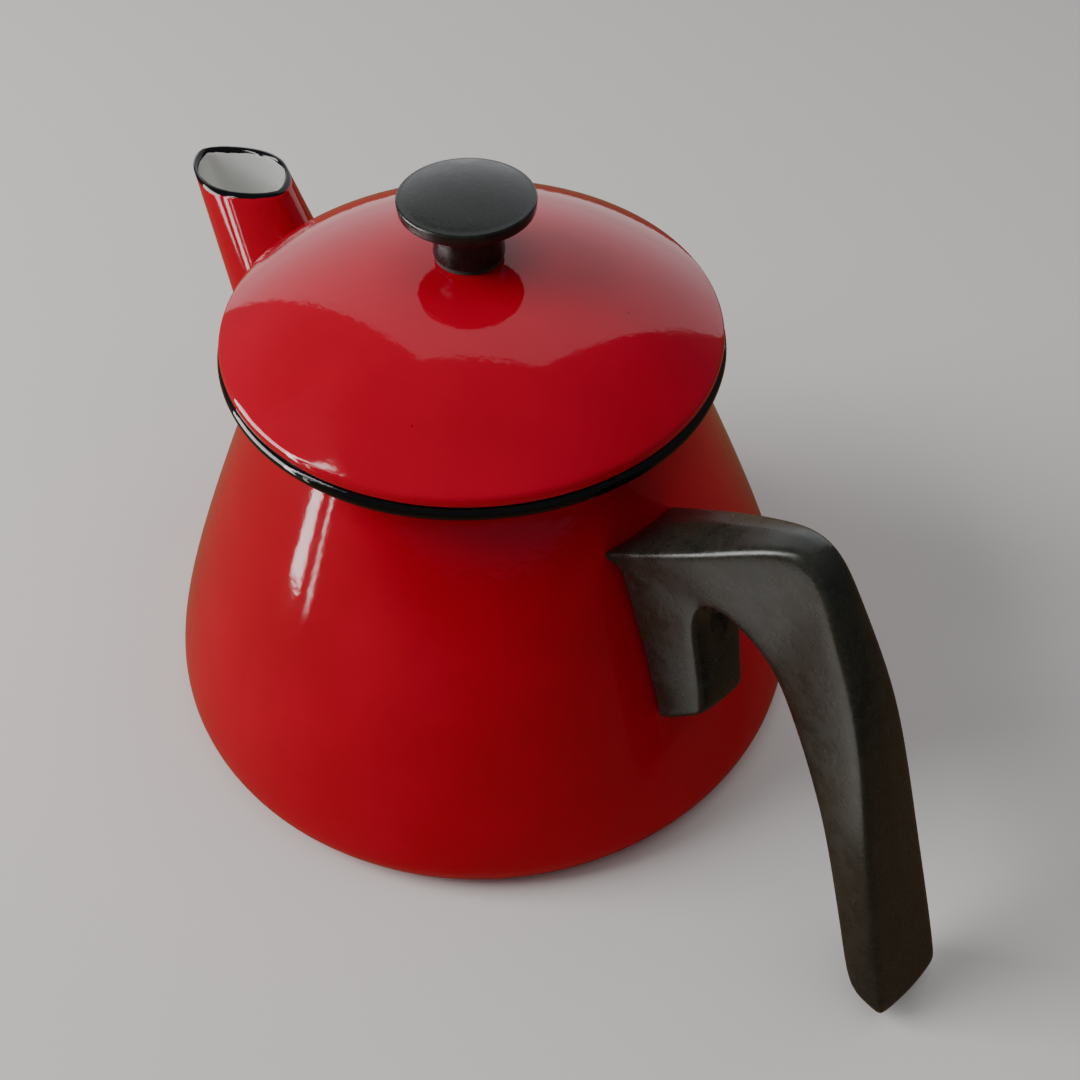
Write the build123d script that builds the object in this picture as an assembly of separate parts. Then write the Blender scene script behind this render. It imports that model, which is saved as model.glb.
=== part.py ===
"""Enamelled stovetop kettle with a lift-off lid, a straight spout and a moulded handle.

Frame: millimetres, +Z up, origin on the body's axis at the base plane,
+X towards the handle, so the spout points along -X.
"""
from build123d import *
import math
import os

os.makedirs("parts", exist_ok=True)

# ---------------------------------------------------------------- driving dimensions
body_radius = 98.6          # widest radius of the body, just above the base
base_corner = 9.5           # radius of the corner between base and wall
wall_swell = 16.0           # height of the wall's control point above the base corner
neck_radius = 57.8          # outside radius where the wall ends and the neck starts
neck_height = 114.0         # height of that place
neck_climb = 4.5            # how far the throat keeps the wall's direction above the neck
lip_run = 5.5               # how far the lip flares, outwards
lip_drop = 3.0              # and downwards from its edge
sheet = 1.2                 # enamelled steel sheet

mouth_radius = 65.1         # centre line of the rolled rim hoop
mouth_height = 123.4        # height of that centre line
hoop_radius = 2.15          # section radius of the rim hoop

lid_overhang = 1.1          # how far the lid's edge reaches past the hoop's centre line
lid_rise = 23.3             # crown of the lid above the top of the rim hoop
lid_roll = 2.2              # radius of the lid's rolled edge
lid_gap = 0.3               # air between the lid's edge and the rim hoop
lid_skirt = 1.4             # straight part of the lid's edge below its roll
collar_sheet = 1.0          # sheet of the lid's locating collar
collar_clearance = 1.0      # radial play of the collar in the neck
throat_dip = 0.6            # how much narrower the throat gets than the neck
collar_reach = 13.5         # how far the collar drops below the rim hoop's top
collar_flange = 5.0         # width of the collar's welding flange, turned outwards

knob_radius = 17.2          # edge of the knob's disc
knob_neck = 9.1             # radius of the knob's neck
knob_height = 19.0          # knob, from its seat to its top
knob_crown = 3.2            # dome of the knob above its edge
knob_edge = 1.3             # radius of the knob's rounded edge
seal_thickness = 0.8        # heat washer under the knob

spout_reach = 113.0         # centre of the spout's mouth from the body axis
spout_level = 120.7         # height of the level mouth
spout_lean = 27.0           # lean of the spout's axis from upright, degrees
spout_half_width = 12.1     # half the width of the mouth, outside
spout_taper = 0.115         # growth of the spout's radius per mm of axis
spout_beak = 5.8            # how far the pouring tip is drawn out
spout_back = 3.0            # how far the mouth's back is drawn out
spout_sheet = 1.1           # sheet of the spout
spout_root = 34.0           # height of the loft's lower section, inside the body
mouth_pinch = 0.12          # how much the drawn tip narrows
mouth_points = 24           # points round the spout's section

handle_gap = 0.15           # air between the handle's back and the wall
handle_draft = 8.0          # draft of the moulded faces from the parting line, degrees
# Side view of the parting line: corners (x, z) and their rounding, from the back of the arm
arm_back = (54.0, 92.0)
bend_corner = (117.2, 140.2)
grip_corner = (140.8, 104.5)
toe_corner = (176.0, 4.2)
heel_corner = (160.6, 4.8)
waist_corner = (144.5, 47.5)
arch_outer = (112.0, 95.0)
arch_inner = (89.8, 109.5)
pad_corner = (101.0, 58.5)
pad_back = (74.0, 35.0)
handle_corners = [
    (arm_back, 0.5),
    (bend_corner, 9.0),
    (grip_corner, 60.0),
    (toe_corner, 3.0),
    (heel_corner, 8.0),
    (waist_corner, 45.0),
    (arch_outer, 14.0),
    (arch_inner, 5.0),
    (pad_corner, 4.0),
    (pad_back, 0.5),
]
handle_thickness = 18.0     # half the blank's width before the plan outline trims it
back_levels = (38.0, 100.0) # heights on the wall between which the handle's back is cut off
back_depths = (7.0, 5.0)    # how far inside the wall that cut lies at each height
# Plan view: half the handle's width at places along X
handle_widths = [(48.0, 13.6), (84.0, 12.2), (118.0, 5.0), (146.0, 8.7), (178.0, 13.6)]


bracket_sheet = 2.0         # steel of the handle bracket
bracket_width = 14.0
bracket_low = 62.0          # lower end of the bracket's foot
bracket_high = 92.0         # height where the bracket's tongue leaves the wall
tongue_length = 27.0        # tongue, from the wall
tongue_rise = 33.0          # tongue's slope above level, degrees
pocket_clearance = 0.4      # play of the bracket in the handle's pocket

screw_radius = 2.0          # M4 handle screw
screw_at = 22.0             # the screw's place along the tongue, from the wall
nut_across = 7.0            # square weld nut
nut_height = 3.2
head_radius = 3.5           # head of the handle screw
head_height = 2.6
seat_depth = 6.5            # handle left between the tongue and the screw's washer
washer_thickness = 1.0      # of every washer
hole_play = 0.2             # radial play of a washer on its screw

stud_radius = 2.0           # M4 knob screw
insert_radius = 3.4         # brass insert in the knob
insert_length = 11.0
lid_hole_play = 0.3         # radial play of the knob screw in the lid
lid_washer_radius = 5.0
lid_spring_radius = 4.0
lid_head_radius = 3.9
lid_head_height = 2.4


# ---------------------------------------------------------------- helpers
def turned(edges):
    """Solid of revolution about Z from closed edges drawn in the XZ plane."""
    return revolve(make_face(Wire.combine(edges)[0]), Axis.Z)


def rz(radius, height):
    """A point in the XZ half-plane."""
    return Vector(radius, 0, height)


def ring(outer, inner, low, high):
    """A plain tube on the Z axis."""
    height = high - low
    place = Pos(0, 0, low)
    tube = Cylinder(outer, height, align=(Align.CENTER, Align.CENTER, Align.MIN))
    bore = Cylinder(inner, height, align=(Align.CENTER, Align.CENTER, Align.MIN))
    return place * (tube - bore)


def save(shape, node):
    """Write one node as its own STEP file."""
    shape.label = node
    export_step(shape, f"parts/{node}.step")
    print(node, round(shape.volume, 1))


# ---------------------------------------------------------------- body
hoop_top = mouth_height + hoop_radius
lip_top = mouth_height + sheet / 2
wall_slant = 1.1            # level thickness of the leaning wall, in sheets


def body_core(inset):
    """Everything inside the wall's outline, which is moved inwards by inset."""
    middle = rz(body_radius - base_corner, base_corner)
    corner = base_corner - inset
    floor = middle - rz(0, corner)
    low = middle + rz(corner, 0)
    halfway = middle + rz(corner, -corner) * math.sqrt(0.5)
    swell = low + rz(0, wall_swell)
    high = rz(neck_radius - inset * wall_slant, neck_height)
    climb = (high - swell).normalized() * neck_climb
    lip = rz(mouth_radius, lip_top - sheet + inset)
    flare = rz(lip_run, lip_drop)
    edges = [
        ThreePointArc(floor, halfway, low),
        Bezier(low, swell, high),
        Bezier(high, high + climb, lip - flare, lip),
    ]
    corners = [lip, rz(mouth_radius, lip_top), rz(0, lip_top), rz(0, inset), floor]
    for start, end in zip(corners, corners[1:]):
        if (end - start).length > 1e-6:
            edges.append(Line(start, end))
    return turned(edges)


outside = body_core(0)
inside = body_core(sheet)
vessel = outside - inside


def below(height):
    """A slab that holds everything under a height."""
    return Pos(0, 0, height - 100) * Box(400, 400, 200)


base_pan = vessel & below(base_corner)
wall_shell = vessel - below(base_corner)

hoop_section = Plane.XZ * Pos(mouth_radius, mouth_height) * Circle(hoop_radius)
rim_hoop = revolve(hoop_section, Axis.Z) - vessel

# ---------------------------------------------------------------- spout
lean = math.radians(spout_lean)
slant = 1 / math.cos(lean)


def spout_section(height, inset, beak, back):
    """A level section of the spout: an ellipse, drawn out at its outer and inner ends."""
    along_axis = (spout_level - height) * slant
    half_width = spout_half_width + spout_taper * along_axis - inset
    half_length = half_width * slant
    centre = spout_reach - (spout_level - height) * math.tan(lean)
    points = []
    for step in range(mouth_points):
        turn = 2 * math.pi * step / mouth_points
        outwards = (1 + math.cos(turn)) / 2
        inwards = 1 - outwards
        stretch = beak * outwards ** 5 - back * inwards ** 5
        pinch = 1 - mouth_pinch * outwards ** 2 * (beak > 0)
        x = centre + half_length * math.cos(turn) + stretch
        points.append(Vector(-x, half_width * math.sin(turn) * pinch, height))
    return Face(Wire(Edge.make_spline(points, periodic=True)))


def spout_solid(inset):
    """The spout's body, run on inside the kettle and a little past its mouth."""
    root = spout_section(spout_root, inset, 0, 0)
    mouth = spout_section(spout_level, inset, spout_beak, spout_back)
    return Solid.make_loft([root.outer_wire(), mouth.outer_wire()], ruled=True)


spout_outer = spout_solid(0)
spout_bore = spout_solid(spout_sheet)
spout_tube = spout_outer - spout_bore - outside
spout_tube = spout_tube.solids().sort_by(SortBy.VOLUME)[-1]
wall_shell = wall_shell - spout_bore

# ---------------------------------------------------------------- lid
lid_radius = mouth_radius + lid_overhang
roll_centre = rz(lid_radius - lid_roll, hoop_top + lid_gap + lid_skirt)
lid_top = hoop_top + lid_rise
lid_low = hoop_top + lid_gap


def dome_sphere():
    """Radius and centre height of the dome that meets the rolled edge smoothly."""
    drop = lid_top - roll_centre.Z
    radius = (roll_centre.X ** 2 + drop ** 2 - lid_roll ** 2) / (2 * (drop - lid_roll))
    return radius, lid_top - radius


dome_radius, dome_centre = dome_sphere()


def lid_core(inset):
    """Everything under the lid's outline, which is moved inwards by inset."""
    radius = dome_radius - inset
    hub = rz(0, dome_centre)
    aim = (roll_centre - hub).normalized()
    crown = rz(0, dome_centre + radius)
    meet = hub + aim * radius
    half_aim = (aim + Vector(0, 0, 1)).normalized()
    roll = lid_roll - inset
    outer_aim = (aim + Vector(1, 0, 0)).normalized()
    brink = roll_centre + rz(roll, 0)
    foot = rz(brink.X, lid_low - inset)
    return turned([
        ThreePointArc(crown, hub + half_aim * radius, meet),
        ThreePointArc(meet, roll_centre + outer_aim * roll, brink),
        Line(brink, foot),
        Line(foot, rz(0, foot.Z)),
        Line(rz(0, foot.Z), crown),
    ])


lid_outside = lid_core(0)
lid_inside = lid_core(sheet)
screw_hole = stud_radius + lid_hole_play
lid_shell = lid_outside - lid_inside - Pos(0, 0, lid_top) * Cylinder(screw_hole, 10)

neck_bore = neck_radius - wall_slant * sheet - throat_dip
collar_radius = neck_bore - collar_clearance
collar_low = hoop_top - collar_reach
collar_tube = ring(collar_radius, collar_radius - collar_sheet, collar_low, lid_top)
flange_radius = collar_radius - collar_sheet + collar_flange
flange_tube = ring(flange_radius, collar_radius - collar_sheet, lid_low, lid_top)
dome_ball = Pos(0, 0, dome_centre) * Sphere(dome_radius - sheet)
flange_ball = Pos(0, 0, dome_centre) * Sphere(dome_radius - sheet - collar_sheet)
lid_collar = (collar_tube & dome_ball) + ((flange_tube & dome_ball) - flange_ball)

# ---------------------------------------------------------------- knob
knob_seat = lid_top + seal_thickness
knob_seal = ring(knob_neck - 0.4, screw_hole, lid_top - 2, knob_seat) - lid_outside
edge_height = knob_seat + knob_height - knob_crown - knob_edge
edge_centre = rz(knob_radius - knob_edge, edge_height)
knob_top = rz(0, knob_seat + knob_height)
under_edge = edge_centre + rz(-0.3, -knob_edge)
neck_low = rz(knob_neck, knob_seat)
neck_high = rz(knob_neck - 0.4, knob_seat + 5.0)
knob_body = turned([
    Line(rz(0, knob_seat), neck_low),
    Line(neck_low, neck_high),
    Bezier(neck_high, neck_high + rz(-0.4, 5.2), under_edge - rz(6.0, 1.8), under_edge),
    ThreePointArc(under_edge, edge_centre + rz(knob_edge, 0), edge_centre + rz(-0.2, knob_edge)),
    Bezier(edge_centre + rz(-0.2, knob_edge), knob_top + rz(9.0, -0.15), knob_top),
    Line(knob_top, rz(0, knob_seat)),
])
insert = ring(insert_radius, stud_radius, knob_seat, knob_seat + insert_length)
knob = knob_body - Pos(0, 0, knob_seat + insert_length / 2) * Cylinder(insert_radius, insert_length)

underside = dome_centre + math.sqrt((dome_radius - sheet) ** 2 - lid_washer_radius ** 2)
knob_spring_top = underside - washer_thickness
head_top = knob_spring_top - washer_thickness
knob_washer = ring(lid_washer_radius, screw_hole, knob_spring_top, underside)
knob_spring = ring(lid_spring_radius, screw_hole, head_top, knob_spring_top)
shank_top = knob_seat + insert_length - 1.0
knob_screw = Pos(0, 0, head_top - lid_head_height / 2) * Cylinder(lid_head_radius, lid_head_height)
knob_screw = fillet(knob_screw.edges().group_by(Axis.Z)[0], lid_head_height / 2)
knob_screw += Pos(0, 0, (head_top + shank_top) / 2) * Cylinder(stud_radius, shank_top - head_top)
knob_screw -= Pos(0, 0, head_top - lid_head_height) * Box(6.0, 0.9, 2.2)

# ---------------------------------------------------------------- handle
outline_points = [corner for corner, rounding in handle_corners]
roundings = [rounding for corner, rounding in handle_corners]
side_wire = FilletPolyline(*outline_points, radius=roundings, close=True)
side_face = Plane.XZ * make_face(side_wire)
blank = extrude(side_face, amount=handle_thickness, both=True, taper=handle_draft)
near_side = Spline(*[(x, -half) for x, half in handle_widths])
far_side = Spline(*[(x, half) for x, half in handle_widths])
back_line = Line(near_side @ 0, far_side @ 0)
front_line = Line(near_side @ 1, far_side @ 1)
plan_face = make_face([near_side, far_side, back_line, front_line])
handle_body = blank & extrude(plan_face, amount=lid_top + knob_height)


def wall_radius(height):
    """Outside radius of the wall at a height between the base corner and the neck."""
    low, swell, high = base_corner, base_corner + wall_swell, neck_height
    square = low - 2 * swell + high
    linear = 2 * (swell - low)
    t = (math.sqrt(linear ** 2 - 4 * square * (low - height)) - linear) / (2 * square)
    return (1 - t * t) * body_radius + t * t * neck_radius


# The back is cut off just inside the wall, so that the long edges end on a flat
back_low, back_high = [
    rz(wall_radius(level) - depth, level) for level, depth in zip(back_levels, back_depths)
]
back_climb = back_high - back_low
back_plane = Plane(origin=back_low, x_dir=back_climb, z_dir=Vector(0, 1, 0).cross(back_climb))
handle_body -= back_plane * (Pos(0, 0, -60) * Box(400, 60, 120))
handle_body -= body_core(-handle_gap)

# ---------------------------------------------------------------- bracket and handle screw
slope = math.radians(tongue_rise)
tongue_root = rz(wall_radius(bracket_high), bracket_high)
along = Vector(math.cos(slope), 0, math.sin(slope))
across = Vector(-math.sin(slope), 0, math.cos(slope))
tongue_plane = Plane(origin=tongue_root, x_dir=along, z_dir=across)


def on_tongue(start, end, half_width, low, high):
    """A block set square on the tongue: along it, across it and through it."""
    block = Box(end - start, 2 * half_width, high - low)
    place = Pos((start + end) / 2, 0, (low + high) / 2)
    return tongue_plane * (place * block)


def screw_part(radius, low, high):
    """A round piece on the handle screw's axis."""
    place = Pos(screw_at, 0, (low + high) / 2)
    return tongue_plane * (place * Cylinder(radius, high - low))


def foot_block(half_width, thickness, low, high):
    """The strip of the wall's offset that lies behind the handle."""
    strip = Pos(120, 0, (low + high) / 2) * Box(140, 2 * half_width, high - low)
    return (body_core(-thickness) & strip) - outside


half_sheet = bracket_sheet / 2
half_bracket = bracket_width / 2
foot = foot_block(half_bracket, bracket_sheet, bracket_low, bracket_high)
tongue = on_tongue(-4, tongue_length, half_bracket, -half_sheet, half_sheet) - outside
handle_bracket = foot + tongue - screw_part(screw_radius, -half_sheet, half_sheet)

half_nut = nut_across / 2
nut_top = half_sheet + nut_height
nut_block = on_tongue(screw_at - half_nut, screw_at + half_nut, half_nut, half_sheet, nut_top)
bracket_nut = nut_block - screw_part(screw_radius, half_sheet, nut_top)

play = pocket_clearance
pocket_half = half_bracket + play
pocket_end = tongue_length + play
handle_body -= foot_block(pocket_half, bracket_sheet + play, bracket_low - play, bracket_high + 3)
handle_body -= on_tongue(-4, pocket_end, pocket_half, -half_sheet - play, nut_top + play)
seat = -half_sheet - seat_depth
washer_low = seat - washer_thickness
spring_low = washer_low - washer_thickness
head_low = spring_low - head_height
recess = head_radius + play
washer_hole = screw_radius + hole_play
handle_body -= screw_part(screw_radius + play, seat, 0)
handle_body -= screw_part(recess, seat - 20, seat)
handle_washer = screw_part(head_radius + 0.2, washer_low, seat)
handle_washer -= screw_part(washer_hole, washer_low, seat)
handle_spring = screw_part(head_radius - 0.3, spring_low, washer_low)
handle_spring -= screw_part(washer_hole, spring_low, washer_low)
screw_head = screw_part(head_radius, head_low, spring_low)
screw_head -= tongue_plane * (Pos(screw_at, 0, head_low) * Box(3 * head_radius, 1.0, 2.4))
handle_screw = screw_head + screw_part(screw_radius, spring_low, nut_top + 0.2)

save(wall_shell, "body_shell")
save(base_pan, "base_pan")
save(rim_hoop, "rim_hoop")
save(spout_tube, "spout_tube")
save(lid_shell, "lid_shell")
save(lid_collar, "lid_collar")
save(knob, "knob")
save(insert, "knob_insert")
save(knob_seal, "knob_seal")
save(knob_washer, "knob_washer")
save(knob_spring, "knob_lock_washer")
save(knob_screw, "knob_screw")
save(handle_body, "handle")
save(handle_bracket, "handle_bracket")
save(bracket_nut, "bracket_nut")
save(handle_washer, "handle_washer")
save(handle_spring, "handle_lock_washer")
save(handle_screw, "handle_screw")
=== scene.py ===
# %% [markdown]
# # An enamelled kettle, piece by piece
#
# This lesson builds the looks of a stovetop kettle round a fixed mechanical frame. The frame says
# where every part is and how the lid moves. Here each visible part is modelled again as smooth
# enamelled steel or moulded phenolic, and given a finish. All lengths are in metres, and the kettle
# stands on z = 0 with its handle towards +X and its spout towards -X.

# %% Load the frame
import math

import bpy
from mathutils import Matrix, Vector


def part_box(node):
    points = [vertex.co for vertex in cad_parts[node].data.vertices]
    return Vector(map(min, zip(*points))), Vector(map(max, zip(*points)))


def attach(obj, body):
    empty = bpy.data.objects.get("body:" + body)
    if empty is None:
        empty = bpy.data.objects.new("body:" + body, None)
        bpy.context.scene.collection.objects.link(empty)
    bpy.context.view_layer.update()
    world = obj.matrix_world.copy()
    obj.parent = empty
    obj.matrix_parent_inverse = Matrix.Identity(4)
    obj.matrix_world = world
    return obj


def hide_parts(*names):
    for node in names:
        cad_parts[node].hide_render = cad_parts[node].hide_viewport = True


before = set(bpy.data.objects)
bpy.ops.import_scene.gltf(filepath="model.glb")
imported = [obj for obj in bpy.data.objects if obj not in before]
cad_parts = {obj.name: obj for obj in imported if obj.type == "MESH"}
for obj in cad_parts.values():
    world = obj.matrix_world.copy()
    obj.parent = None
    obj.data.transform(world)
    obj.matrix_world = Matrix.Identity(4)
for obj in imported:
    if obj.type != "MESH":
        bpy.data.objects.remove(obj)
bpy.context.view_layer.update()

# %% [markdown]
# ## Where things are
#
# The main sizes are read from the frame, so that the looks follow the frame if it changes. A few sizes
# that the frame can't tell, such as the sheet's thickness, are written once here.

# %% Read the main sizes from the frame
MM = 0.001
HAIR = 0.01 * MM
SHEET = 1.2 * MM

_, base_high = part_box("base_pan")
hoop_low, hoop_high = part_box("rim_hoop")
lid_low, lid_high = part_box("lid_shell")
knob_low, knob_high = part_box("knob")
_, spout_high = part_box("spout_tube")
washer_low, washer_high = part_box("handle_washer")

BODY_RADIUS = base_high.x
CORNER = base_high.z
HOOP_RADIUS = (hoop_high.z - hoop_low.z) / 2
HOOP_LEVEL = (hoop_high.z + hoop_low.z) / 2
MOUTH_RADIUS = hoop_high.x - HOOP_RADIUS
MOUTH_LEVEL = spout_high.z
print("body radius", round(BODY_RADIUS, 4), "rim level", round(HOOP_LEVEL, 4))

# %% [markdown]
# ## The camera
#
# The camera comes first, because every look is judged through it. It looks down on the kettle from the
# handle's side at a steep angle, as someone standing at a table would, with a lens of ordinary length.

# %% Place the camera
CAMERA_PLACE = Vector((0.2071, -0.1626, 0.3348))
CAMERA_PITCH = 48.2
CAMERA_HEADING = 48.0
SENSOR = 36
LENS = 41.67

bpy.ops.object.select_all(action="DESELECT")
bpy.ops.object.camera_add(
    location=CAMERA_PLACE,
    rotation=(math.radians(90 - CAMERA_PITCH), 0, math.radians(CAMERA_HEADING)),
)
camera = bpy.context.object
camera.name = "view_camera"
camera.data.sensor_width = SENSOR
camera.data.lens = LENS
bpy.context.scene.camera = camera
print("camera at", tuple(round(v, 3) for v in camera.location))

# %% [markdown]
# ## Small tools used all through
#
# An operator works on whatever is selected, so each piece starts from nothing selected. Points, edges
# and faces are then picked by their place or by the way they face.


# %% Tools for selecting and editing
def edit(piece):
    """Open one piece in edit mode, with nothing selected."""
    bpy.ops.object.select_all(action="DESELECT")
    bpy.context.view_layer.objects.active = piece
    piece.select_set(True)
    bpy.ops.object.mode_set(mode="EDIT")
    bpy.ops.mesh.select_all(action="DESELECT")


def pick(piece, kind, test):
    """In edit mode, select the points, edges or faces that pass a test on their place."""
    bpy.ops.mesh.select_mode(type=kind)
    bpy.ops.mesh.select_all(action="DESELECT")
    bpy.ops.object.mode_set(mode="OBJECT")
    mesh = piece.data
    if kind == "VERT":
        for point in mesh.vertices:
            point.select = test(point.co)
    elif kind == "EDGE":
        for edge in mesh.edges:
            edge.select = test(*[mesh.vertices[i].co for i in edge.vertices])
    else:
        for face in mesh.polygons:
            face.select = test(face.center, face.normal)
    bpy.ops.object.mode_set(mode="EDIT")


def close_edit(piece, angle=40):
    """Turn every face outwards, leave edit mode and shade the piece smooth."""
    bpy.ops.mesh.select_all(action="SELECT")
    bpy.ops.mesh.normals_make_consistent(inside=False)
    bpy.ops.object.mode_set(mode="OBJECT")
    bpy.ops.object.shade_smooth_by_angle(angle=math.radians(angle))
    print(piece.name, len(piece.data.polygons), "faces")


def face_outwards(piece, middle):
    """Turn an open wall round if its faces look towards its middle."""
    lean = sum(face.normal.dot(face.center - middle) * face.area for face in piece.data.polygons)
    if lean < 0:
        edit(piece)
        bpy.ops.mesh.select_all(action="SELECT")
        bpy.ops.mesh.flip_normals()
        bpy.ops.object.mode_set(mode="OBJECT")
    print(piece.name, "turned" if lean < 0 else "faced outwards already")


def apply_modifier(piece, kind, **settings):
    """Add a modifier, set it up and apply it."""
    bpy.ops.object.select_all(action="DESELECT")
    bpy.context.view_layer.objects.active = piece
    piece.select_set(True)
    modifier = piece.modifiers.new(kind.lower(), kind)
    for name, value in settings.items():
        setattr(modifier, name, value)
    bpy.ops.object.modifier_apply(modifier=modifier.name)


def two_slots(piece):
    """Give a sheet piece a slot for its outside and one for its inside, to be filled later."""
    for side in ("outside", "inside"):
        piece.data.materials.append(bpy.data.materials.new(f"{piece.name}_{side}"))


def remove(piece):
    """Delete a helper once it has done its cutting."""
    bpy.ops.object.select_all(action="DESELECT")
    piece.select_set(True)
    bpy.ops.object.delete()


# %% [markdown]
# ## Turned outlines
#
# The body, lid and knob are all round. On the real kettle they are drawn, spun or moulded, and here an
# outline is drawn in the XZ plane, point by point, and spun a full turn about Z. The outlines are made
# of curves and arcs, so a few numbers describe them.


# %% Tools for drawing and spinning an outline
def at(radius, height):
    """A point of an outline: its distance from the axis and its height."""
    return Vector((radius, 0, height))


def curve(points, count):
    """Points along the Bezier curve that these points steer."""
    places = []
    for step in range(count + 1):
        row = list(points)
        while len(row) > 1:
            row = [a.lerp(b, step / count) for a, b in zip(row, row[1:])]
        places.append(row[0])
    return places


def arc(centre, radius, start, end, count):
    """Points along an arc, with its angles in degrees from +X towards +Z."""
    places = []
    for step in range(count + 1):
        turn = math.radians(start + (end - start) * step / count)
        places.append(centre + at(math.cos(turn), math.sin(turn)) * radius)
    return places


def single_point(name, place):
    """A new piece that is one point, open in edit mode."""
    bpy.ops.object.select_all(action="DESELECT")
    bpy.ops.mesh.primitive_plane_add(size=MM)
    piece = bpy.context.object
    piece.name = name
    edit(piece)
    bpy.ops.mesh.select_mode(type="VERT")
    bpy.ops.mesh.select_all(action="SELECT")
    bpy.ops.mesh.merge(type="CENTER")
    bpy.ops.mesh.select_all(action="SELECT")
    bpy.ops.transform.translate(value=place)
    return piece


def spun(name, outline, steps=160):
    """Draw an outline by extruding a point, then spin it a full turn about Z."""
    piece = single_point(name, outline[0])
    for start, end in zip(outline, outline[1:]):
        if (end - start).length > 1e-6:
            bpy.ops.mesh.extrude_region_move(TRANSFORM_OT_translate={"value": end - start})
    bpy.ops.mesh.select_all(action="SELECT")
    bpy.ops.mesh.spin(steps=steps, angle=2 * math.pi, center=(0, 0, 0), axis=(0, 0, 1))
    bpy.ops.mesh.select_all(action="SELECT")
    bpy.ops.mesh.remove_doubles(threshold=HAIR)
    close_edit(piece)
    return piece


# %% [markdown]
# ## The body
#
# The body is drawn sheet steel: a flat base, a rounded corner, a wall that swells and then leans in to
# the neck, and a lip that flares out under the rim. The outline runs up the outside, and a Solidify
# modifier then gives the sheet its thickness on the inside. The inside gets its own material slot,
# because it is enamelled white.

# %% Outline of the body
NECK_RADIUS = 57.8 * MM
NECK_LEVEL = 114.0 * MM
WALL_SWELL = 16.0 * MM
NECK_CLIMB = 4.5 * MM
LIP_RUN = at(5.5 * MM, 3.0 * MM)

corner_middle = at(BODY_RADIUS - CORNER, CORNER)
wall_foot = at(BODY_RADIUS, CORNER)
wall_swell = at(BODY_RADIUS, CORNER + WALL_SWELL)
neck = at(NECK_RADIUS, NECK_LEVEL)
neck_aim = (neck - wall_swell).normalized() * NECK_CLIMB
lip = at(MOUTH_RADIUS, HOOP_LEVEL + SHEET / 2)

body_outline = [at(0, 0), at(30 * MM, 0), at(60 * MM, 0)]
body_outline += arc(corner_middle, CORNER, -90, 0, 10)
body_outline += curve([wall_foot, wall_swell, neck], 36)[1:]
body_outline += curve([neck, neck + neck_aim, lip - LIP_RUN, lip], 12)[1:]

# %% Spin the body, and a solid core for trimming the spout
body = spun("body", body_outline, 192)
face_outwards(body, at(0, NECK_LEVEL / 2))
two_slots(body)
apply_modifier(body, "SOLIDIFY", thickness=SHEET, offset=-1, material_offset=1, material_offset_rim=1)
core = spun("core", body_outline + [at(0, lip.z)], 192)

# %% [markdown]
# ## The spout
#
# The spout is a straight tapered tube that leans away from the body. Its mouth is cut level, at the
# height of the rim, and the cut edge is drawn out to a pouring tip, which leans a little to one side.
# It is built from two rings, one inside the body and one at the mouth, joined by bridging them with
# cuts between. Solidify gives this tube its wall. A second, narrower tube is closed into a plug as wide
# as the bore, and cuts the pour hole in the body.

# %% Sizes of the spout
SPOUT_LEAN = math.radians(27)
SPOUT_REACH = 113.0 * MM
SPOUT_HALF = 12.6 * MM
SPOUT_TAPER = 0.115
SPOUT_SHEET = 1.1 * MM
SPOUT_BEAK = 4.4 * MM
SPOUT_BACK = 3.2 * MM
SPOUT_POINT = 0.25
SPOUT_SKEW = 0.13
SPOUT_ROOT = 34.0 * MM
SPOUT_SIDES = 96
SPOUT_CUTS = 36
BORE_REACH = 2 * MM


def spout_ring(level, inset):
    """Middle, half length and half width of the spout's level section."""
    half_width = SPOUT_HALF + SPOUT_TAPER * (MOUTH_LEVEL - level) / math.cos(SPOUT_LEAN) - inset
    middle = (MOUTH_LEVEL - level) * math.tan(SPOUT_LEAN) - SPOUT_REACH
    return middle, half_width / math.cos(SPOUT_LEAN), half_width


def place_ring(piece, middle, length, width, level):
    """Scale the selected unit ring to its section and carry it to its place."""
    bpy.ops.transform.resize(value=(length, width, 1), center_override=(0, 0, 0))
    bpy.ops.transform.translate(value=(middle, 0, level))


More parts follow.
